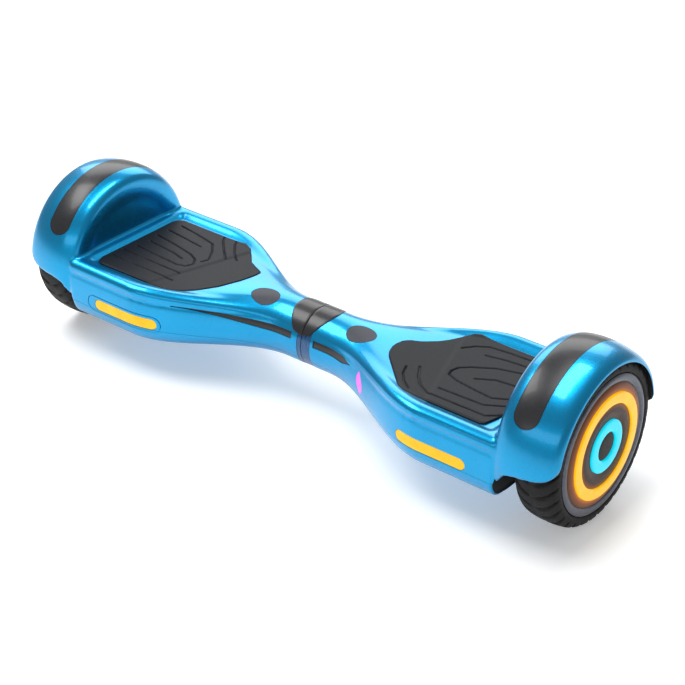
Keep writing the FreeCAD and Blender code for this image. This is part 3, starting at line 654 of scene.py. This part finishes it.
def surface(name, dark, light, rough, size, metallic=0.0, coat=0.0, bump=0.2, depth=0.0002,
            detail=3.0, stretch=(1, 1, 1), gloss=0.5):
    """Finish whose colour, roughness and relief follow one grain."""
    finish, tree, shader = new_finish(name)
    noise = grain(tree, size, detail, stretch)
    shades(tree, noise.outputs["Fac"], shader.inputs["Base Color"], dark, light)
    low, high = rough
    shades(tree, noise.outputs["Fac"], shader.inputs["Roughness"], (low,) * 3, (high,) * 3)
    shader.inputs["Metallic"].default_value = metallic
    shader.inputs["Coat Weight"].default_value = coat
    shader.inputs["Coat Roughness"].default_value = 0.06
    shader.inputs["Specular IOR Level"].default_value = gloss
    relief(tree, shader, noise.outputs["Fac"], bump, depth)
    return finish


arch_black = surface("arch_black", (0.006, 0.006, 0.007), (0.010, 0.010, 0.011), (0.55, 0.7), 0.001,
                     bump=0.3)
shell_paint, paint_tree, paint_shader = new_finish("cyan_blue_paint")
flake = grain(paint_tree, 0.0006, 2.0)
wave = grain(paint_tree, 0.09, 1.0)
shades(paint_tree, wave.outputs["Fac"], paint_shader.inputs["Base Color"], (0.001, 0.270, 0.54),
       (0.001, 0.310, 0.61))
shades(paint_tree, flake.outputs["Fac"], paint_shader.inputs["Roughness"], (0.27,) * 3, (0.36,) * 3)
paint_shader.inputs["Metallic"].default_value = 0.9
paint_shader.inputs["Coat Weight"].default_value = 0.4
paint_shader.inputs["Coat Roughness"].default_value = 0.09
relief(paint_tree, paint_shader, flake.outputs["Fac"], 0.04, 0.0001)


def finished(piece, finish, body, slot, *nodes, angle=35):
    """Smooth a piece, give it its finish and body, and name the nodes that it stands for."""
    bpy.ops.object.select_all(action="DESELECT")
    bpy.context.view_layer.objects.active = piece
    piece.select_set(True)
    bpy.ops.object.shade_smooth_by_angle(angle=math.radians(angle))
    piece.data.materials.clear()
    piece.data.materials.append(finish)
    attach(piece, body)
    if nodes:
        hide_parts(*nodes)
    return piece


for side, (upper, lower) in shells.items():
    finished(upper, shell_paint, f"{side}_half", "shell_paint", f"{side}_top_shell")
    finished(lower, shell_paint, f"{side}_half", "shell_paint", f"{side}_bottom_shell")
    for shell in (upper, lower):
        shell.data.materials.append(arch_black)
        for face, lined in zip(shell.data.polygons, linings[shell.name]):
            face.material_index = lined

# Inlays that follow the skin: black fender stripes, smoked windows over the indicators, the dark
# slots under the shoulder of the neck, partly painted shade of the crease there, and the light lenses. Each
# is a close fit in its seat.

satin_black = surface("satin_black", (0.009, 0.009, 0.011), (0.013, 0.013, 0.015), (0.30, 0.36), 0.0012,
                      coat=0.1, bump=0.01)
smoked = surface("smoked_window", (0.040, 0.043, 0.055), (0.050, 0.054, 0.068), (0.42, 0.50), 0.0015,
                 bump=0.03, gloss=0.25)


def lens(name, dark, light, glow, glow_strength):
    """Lit lens: a clear coat over a glowing body that is a little uneven."""
    finish, tree, shader = new_finish(name)
    noise = grain(tree, 0.012, 2.0)
    shades(tree, noise.outputs["Fac"], shader.inputs["Base Color"], dark, [1.1 * part for part in dark])
    shades(tree, noise.outputs["Fac"], shader.inputs["Emission Color"], glow, light)
    shader.inputs["Emission Strength"].default_value = glow_strength
    shader.inputs["Roughness"].default_value = 0.25
    shader.inputs["Specular IOR Level"].default_value = 0.25
    return finish


amber = lens("amber_lens", (0.34, 0.18, 0.002), (1.0, 0.56, 0.012), (0.96, 0.50, 0.008), 0.80)
cyan = lens("cyan_lens", (0.0, 0.20, 0.27), (0.0, 0.70, 0.88), (0.0, 0.66, 0.84), 0.85)
magenta = lens("magenta_lens", (0.20, 0.04, 0.30), (0.86, 0.22, 0.80), (0.72, 0.16, 0.80), 0.9)


def inlay(name, side, tool, finish, slot, node):
    """What the blank half and a tool share, as a piece of its own."""
    piece = copied(blanks[side], name)
    carve(piece, tool, "INTERSECT")
    return finished(piece, finish, f"{side}_half", slot, node)


for side, sign in SIDES.items():
    inlay(f"{side}_fender_stripe", side,
          between_layers("stripe", 96, 10, strip_place(sign, 0), STRIP_UNDERSIDE, ABOVE_STRIP),
          satin_black, "black_trim", f"{side}_fender_strip")
    inlay(f"{side}_window", side,
          between_layers("window", 40, 16, window_place(sign, 0), -INLAY_DEPTH, 6), smoked,
          "smoked_window", f"{side}_indicator_window")
    # Dark slot strip: partly slot trim and partly painted shade of the crease under the shoulder; the left
    # one's long faded end is painted shade under the rim bead.
    inlay(f"{side}_shoulder_slot_and_shade", side,
          between_layers("slot", 80, 4, slot_place(side, sign, 0), -INLAY_DEPTH, -SLOT_RECESS),
          satin_black, "black_trim", f"{side}_slot_trim")
    inlay(f"{side}_light_bar", side,
          between_layers("light", 60, 6, light_place(sign, *LIGHT_HALF, LIGHT_MIDDLE[side]),
                         -INLAY_DEPTH, 8),
          amber, "amber_lens", f"{side}_light_lens")
inlay("right_accent_glow", "right", between_layers("accent", 24, 4, accent_place(1, 0), -ACCENT_DEPTH, 4),
      magenta, "magenta_lens", "right_accent_light")
for side in SIDES:
    bpy.data.objects.remove(blanks[side])

# Saddle cover over the joint, one black moulding on each half with the seam between them, and the
# dark blue band round the rest of the neck that it clips to. The band's dark blue is partly painted shade of
# the gap at the seam, and its stripes are painted reflections.

# Neck band finish: dark blue that is partly painted shade of the gap at the seam, with noise stretched along
# x that paints stripes across the band as painted reflections.
joint_blue_painted_shade = surface("joint_blue_painted_shade", (0.004, 0.045, 0.14), (0.008, 0.09, 0.24), (0.25, 0.40), 0.006,
                     metallic=0.5, coat=0.6, bump=0.05, stretch=(6, 1, 1))
for side, sign in SIDES.items():
    cover = between_layers(f"{side}_saddle_cover", 72, 8, cover_place(side, sign, 0), 29.8, 31.9)
    apply_modifier(cover, "BEVEL", width=0.0004, segments=2, limit_method="ANGLE")
    finished(cover, satin_black, f"{side}_half", "black_trim", f"{side}_centre_cover")
    band = band_tool(f"{side}_neck_band_painted_shade", side, sign, 29.2, 31.0, 0)
    seat = between_layers("band_notch", 72, 6, cover_place(side, sign, GAP), 20, 40)
    carve(band, seat)
    finished(band, joint_blue_painted_shade, f"{side}_half", "shell_paint")

# Foot mats: moulded charcoal rubber with cut grooves, a raised pad for the foot and a lower nose by
# the neck. They are pressed into the deck's seat, so only the upper two millimetres stand above it.

GROOVE_HALF = 1.25
GROOVE_DEPTH = 1.7
PAD_LIFT = 1.0
MAT_PROUD = 1.9
MAT_THICKNESS = 1.9
# The raised pad starts on a slanted line and ramps up, and the mat's edge is rounded down.
PAD_START = 151
PAD_SLANT = 0.33
PAD_RAMP = 7
EDGE_DROP = 0.9
EDGE_WIDTH = 1.8
# Middle lines of the grooves as (x, depth).
GROOVES = {
    "right": [[(128, -29), (133, -41), (141, -50), (151, -57)],
              [(138, -21), (148, -37), (157, -46), (170, -53), (233, -52), (251, -37)],
              [(174, -40), (222, -38), (238, -28), (251, -21)],
              [(251, 32), (225, 31), (196, 22), (176, 9), (167, 0), (165, -8), (167, -15), (178, -19),
               (200, -22), (221, -24), (236, -15), (251, -9)],
              [(190, -6), (206, 4), (226, 7), (251, 6)],
              [(174, 35), (196, 40), (220, 42), (251, 43)],
              [(149, 31), (157, 42), (168, 50), (190, 53), (218, 54), (251, 54)]],
    "left": [[(183, 62), (177, 52), (160, 35), (147, 23)],
             [(166, 62), (160, 52), (148, 38), (136, 28)],
             [(236, 51), (210, 47), (182, 41), (169, 26), (160, 11), (163, 3)],
             [(240, 35), (214, 32), (187, 28)],
             [(242, 19), (214, 15), (184, 9), (172, 3), (166, -6), (169, -14), (179, -17), (210, -15),
              (242, -12)],
             [(238, 4), (200, 0), (184, -4)],
             [(247, -27), (205, -28), (164, -29)],
             [(248, -43), (205, -44), (160, -44)]]}


def near_run(x, depth, start, end):
    """Distance from a straight run."""
    along, side_step = end[0] - start[0], end[1] - start[1]
    share = ((x - start[0]) * along + (depth - start[1]) * side_step) / (along ** 2 + side_step ** 2)
    share = min(max(share, 0), 1)
    return math.hypot(x - start[0] - share * along, depth - start[1] - share * side_step)


rubber = surface("mat_rubber", (0.007, 0.0075, 0.010), (0.011, 0.012, 0.016), (0.50, 0.62), 0.0009,
                 bump=0.2, depth=0.0001, detail=5.0, gloss=0.22)
for side, sign in SIDES.items():
    runs = [run for path in GROOVES[side] for run in zip(path, path[1:])]
    place = mat_place(side, sign, 0)

    def mat_form(u, v):
        x, depth, level = place(u, v, MAT_PROUD - PAD_LIFT)
        reach = abs(x)
        edge = min(depth - along_runs(MAT_FRONT[side], reach), along_runs(MAT_REAR[side], reach) - depth,
                   reach - MAT_START + 0.5, MAT_END - reach)
        level += PAD_LIFT * eased((reach - PAD_START + PAD_SLANT * depth) / PAD_RAMP)
        nearest = min(near_run(reach, depth, start, end) for start, end in runs)
        level -= GROOVE_DEPTH * (1 - eased(nearest / GROOVE_HALF - 0.15))
        level -= EDGE_DROP * (1 - eased(edge / EDGE_WIDTH))
        return x, depth, level

    fine = 230
    mat = formed_grid(f"{side}_foot_pad", fine, int(fine * 0.8), mat_form, closed=False)
    bpy.ops.object.mode_set(mode="EDIT")
    bpy.ops.mesh.select_all(action="DESELECT")
    bpy.ops.mesh.select_non_manifold(extend=False)
    bpy.ops.mesh.extrude_region_move(TRANSFORM_OT_translate={"value": (0, 0, -MAT_THICKNESS * MM)})
    bpy.ops.mesh.select_all(action="SELECT")
    bpy.ops.mesh.fill_holes(sides=0)
    bpy.ops.mesh.normals_make_consistent(inside=False)
    bpy.ops.object.mode_set(mode="OBJECT")
    finished(mat, rubber, f"{side}_half", "foot_rubber", f"{side}_foot_mat", angle=60)

# Wheels: a rubber tyre with swept tread grooves, on a hub motor whose outer cover carries two lit rings.
# The rim is dark satin metal, and the cover is brown-black, with a painted orange glow round the outer ring,
# where the cover emits as if lit by that ring.

TYRE_RADIUS = 82.5
TYRE_MIDDLE = 305.0
TYRE_PROFILE = [(285, 62.2), (283.6, 65), (282.6, 68), (282.0, 72), (283.0, 76), (285.8, 79.2),
                (290, 81.2), (297, 82.2), (305, 82.5), (313, 82.2), (320, 81.2), (324.2, 79.2),
                (326.8, 76), (327.6, 72), (327.0, 69.6), (326.0, 68.6), (325, 68.2), (324.6, 62.2)]
TYRE_HALF_WIDTH = 23
TREADS = 34
TREAD_DEPTH = 2.2
TREAD_SWEEP = 1.15
RIB_DEPTH = 1.2
TREAD_FLOOR = 70


def tyre_form(sign):
    """Surface of the tyre, with swept grooves on both sides of a middle one."""
    def form(u, v):
        loop = len(TYRE_PROFILE) - 1
        x, radius = curve_through(TYRE_PROFILE, v * loop)
        across_tread = (x - TYRE_MIDDLE) / TYRE_HALF_WIDTH
        swept = u * TREADS + TREAD_SWEEP * across_tread * across_tread
        beside = abs((swept % 1) - 0.5) * 2 * math.pi * TYRE_RADIUS / TREADS
        reach = abs(across_tread)
        if radius > TREAD_FLOOR:
            deep = 1 - eased(beside / 2.0 - 0.25)
            deep *= eased((reach - 0.12) / 0.1) * (1 - eased((reach - 0.93) / 0.06))
            radius -= TREAD_DEPTH * deep
            radius -= RIB_DEPTH * (1 - eased(reach / 0.035))
        angle = 2 * math.pi * u
        return sign * x, radius * math.cos(angle), AXLE_LEVEL + radius * math.sin(angle)
    return form


def turned_ring(name, sign, profile):
    """Closed ring about the axle line from a closed loop of (x, radius) points."""
    loop = profile + profile[:1]

    def form(u, v):
        x, radius = loop[round(v * (len(loop) - 1))]
        angle = 2 * math.pi * u
        return sign * x, radius * math.cos(angle), AXLE_LEVEL + radius * math.sin(angle)

    return formed_grid(name, 128, len(loop) - 1, form)


tyre_rubber = surface("tyre_rubber", (0.006, 0.006, 0.006), (0.010, 0.009, 0.010), (0.55, 0.70), 0.0022,
                      bump=0.3, depth=0.0002, detail=6.0, gloss=0.2)
rim_metal = surface("rim_metal", (0.075, 0.08, 0.10), (0.11, 0.115, 0.14), (0.32, 0.42), 0.004,
                    metallic=0.85, bump=0.03, stretch=(0.2, 1, 1))
cover_dark = surface("cover_dark", (0.010, 0.006, 0.005), (0.014, 0.010, 0.008), (0.45, 0.55), 0.0018,
                     bump=0.05, gloss=0.2)

hub_face_painted_glow, face_tree, face_shader = new_finish("hub_face_painted_glow")
face_place = face_tree.nodes.new("ShaderNodeTexCoord")
face_centre = face_tree.nodes.new("ShaderNodeMapping")
face_centre.inputs["Location"].default_value = (0, 0, -AXLE_LEVEL * MM)
face_centre.inputs["Scale"].default_value = (0, 1, 1)
face_reach = face_tree.nodes.new("ShaderNodeVectorMath")
face_reach.operation = "LENGTH"
face_tree.links.new(face_place.outputs["Object"], face_centre.inputs["Vector"])
face_tree.links.new(face_centre.outputs["Vector"], face_reach.inputs[0])
face_scale = face_tree.nodes.new("ShaderNodeMapRange")
face_scale.inputs["From Min"].default_value = 0.036
face_scale.inputs["From Max"].default_value = 0.066
face_tree.links.new(face_reach.outputs["Value"], face_scale.inputs["Value"])


def radial_shades(target, stops):
    ramp = face_tree.nodes.new("ShaderNodeValToRGB")
    while len(ramp.color_ramp.elements) < len(stops):
        ramp.color_ramp.elements.new(0.5)
    for element, (position, colour) in zip(ramp.color_ramp.elements, stops):
        element.position = position
        element.color = (*colour, 1)
    face_tree.links.new(face_scale.outputs["Result"], ramp.inputs["Fac"])
    face_tree.links.new(ramp.outputs["Color"], target)


radial_shades(face_shader.inputs["Base Color"],
              [(0.0, (0.012, 0.008, 0.006)), (0.52, (0.05, 0.02, 0.008)), (0.75, (0.06, 0.035, 0.02)),
               (0.95, (0.05, 0.048, 0.05))])
# Painted glow: the cover is no lamp, yet it emits orange round the outer lamp ring, as painted light of that
# ring falling on the cover.
radial_shades(face_shader.inputs["Emission Color"],
              [(0.0, (0.03, 0.008, 0.0)), (0.13, (0.25, 0.07, 0.004)), (0.53, (0.62, 0.17, 0.01)),
               (0.64, (0.22, 0.05, 0.004)), (0.85, (0.0, 0.0, 0.0))])
face_shader.inputs["Emission Strength"].default_value = 0.8
face_shader.inputs["Specular IOR Level"].default_value = 0.2
face_grain = grain(face_tree, 0.0016)
shades(face_tree, face_grain.outputs["Fac"], face_shader.inputs["Roughness"], (0.34,) * 3, (0.46,) * 3)
relief(face_tree, face_shader, face_grain.outputs["Fac"], 0.1, 0.0002)

# Name, finish, slot, replaced node and closed (x, radius) profile of each ring of a hub.
HUB_RINGS = [
    ("rim_band", rim_metal, "hub_metal", "wheel_rim",
     [(284, 57.2), (326, 57.2), (326, 60), (326.6, 60.4), (327.6, 62), (328.2, 64.5), (327.8, 67),
      (326.8, 68.2), (325.4, 67.8), (324.6, 65.4), (324.6, 61.8), (286, 61.8), (286, 66), (284, 66)]),
    ("hub_face_painted_glow", hub_face_painted_glow, "hub_dark", "hub_cover",
     [(317, 14.2), (325, 14.2), (325, 1), (327.4, 1), (327.4, 26.2), (328.6, 26.2), (329, 26.8),
      (329, 40.2), (328.6, 40.8), (327.4, 40.8), (327.4, 52.2), (328.4, 52.2), (328.8, 53), (328.4, 56),
      (327.4, 59), (326.4, 60.2), (326.2, 59), (326.2, 56.8), (325, 56.8), (325, 17), (317, 17)]),
    ("outer_glow_ring", amber, "amber_lens", "hub_ring_lamp",
     [(327.6, 41.2), (329.6, 41.2), (330.2, 41.9), (330.4, 44), (330.4, 49), (330.2, 51.1), (329.6, 51.8),
      (327.6, 51.8)]),
    ("inner_glow_ring", cyan, "cyan_lens", "hub_centre_lamp",
     [(327.6, 14.3), (329.6, 14.3), (330.2, 15), (330.4, 17), (330.4, 23), (330.2, 25), (329.6, 25.8),
      (327.6, 25.8)]),
    ("axle_cap", cover_dark, "hub_dark", "hub_cap",
     [(327.5, 0.4), (329.4, 0.4), (329.5, 8), (329.2, 12), (328.6, 13.6), (327.5, 13.9)])]

for side, sign in SIDES.items():
    wheel = f"{side}_wheel"
    tyre = formed_grid(f"{side}_tread_tyre", 544, 60, tyre_form(sign), closed=False)
    bpy.ops.object.mode_set(mode="EDIT")
    bpy.ops.mesh.select_all(action="DESELECT")
    bpy.ops.mesh.select_non_manifold(extend=False)
    bpy.ops.mesh.bridge_edge_loops()
    bpy.ops.mesh.select_all(action="SELECT")
    bpy.ops.mesh.normals_make_consistent(inside=False)
    bpy.ops.object.mode_set(mode="OBJECT")
    finished(tyre, tyre_rubber, wheel, "tyre_rubber", f"{side}_tyre", angle=50)
    for name, finish, slot, node, profile in HUB_RINGS:
        ring = turned_ring(f"{side}_{name}", sign, profile)
        finished(ring, finish, wheel, slot, f"{side}_{node}")

# Inside and under the decks: the cast chassis, the steel axle and pivot, the motor parts, the boards
# and the battery keep their own solids, each in its own finish.

cast = surface("cast_alloy", (0.42, 0.43, 0.45), (0.55, 0.56, 0.58), (0.45, 0.62), 0.0015,
               metallic=0.9, bump=0.3)
steel = surface("turned_steel", (0.40, 0.40, 0.42), (0.52, 0.52, 0.54), (0.22, 0.34), 0.0008,
                metallic=1.0, bump=0.08, stretch=(1, 8, 8))
bronze = surface("oiled_bronze", (0.42, 0.28, 0.12), (0.55, 0.38, 0.17), (0.35, 0.5), 0.0008,
                 metallic=0.9, bump=0.2)
winding = surface("copper_winding", (0.30, 0.12, 0.05), (0.55, 0.26, 0.12), (0.35, 0.5), 0.0016,
                  metallic=0.7, bump=0.5, stretch=(1, 6, 6))
magnets = surface("nickelled_magnet", (0.24, 0.24, 0.26), (0.34, 0.34, 0.36), (0.22, 0.35), 0.004,
                  metallic=0.9, bump=0.05)
board = surface("circuit_green", (0.006, 0.06, 0.025), (0.02, 0.16, 0.07), (0.3, 0.5), 0.003,
                coat=0.3, bump=0.5)
wrap = surface("battery_wrap", (0.015, 0.04, 0.16), (0.025, 0.06, 0.22), (0.2, 0.35), 0.006,
               coat=0.4, bump=0.35)
jacket = surface("cable_jacket", (0.015, 0.015, 0.016), (0.022, 0.022, 0.024), (0.45, 0.6), 0.001)
polished = surface("polished_button", (0.55, 0.56, 0.58), (0.66, 0.67, 0.69), (0.10, 0.18), 0.0006,
                   metallic=1.0, bump=0.05)
moulded = surface("moulded_black", (0.014, 0.014, 0.016), (0.022, 0.022, 0.024), (0.42, 0.55), 0.0009,
                  bump=0.2)
carried = {"chassis": cast, "axle_clamp": cast, "axle": steel, "screws": steel, "sensor_board": board,
           "stator": winding, "magnet_ring": magnets, "wheel_bearings": steel, "motor_cover": rim_metal,
           "front_trigger": moulded, "rear_trigger": moulded}
finish_of = {f"{side}_{part}": finish for side in SIDES for part, finish in carried.items()}
finish_of.update({"pivot_tube": steel, "pivot_bushes": bronze, "pivot_retaining_ring": steel,
                  "battery_pack": wrap, "main_board": board, "bridge_cable": jacket,
                  "charge_socket": moulded, "charge_port_lid": rubber, "power_button": polished})
for name, finish in finish_of.items():
    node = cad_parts[name]
    node.data.materials.clear()
    node.data.materials.append(finish)
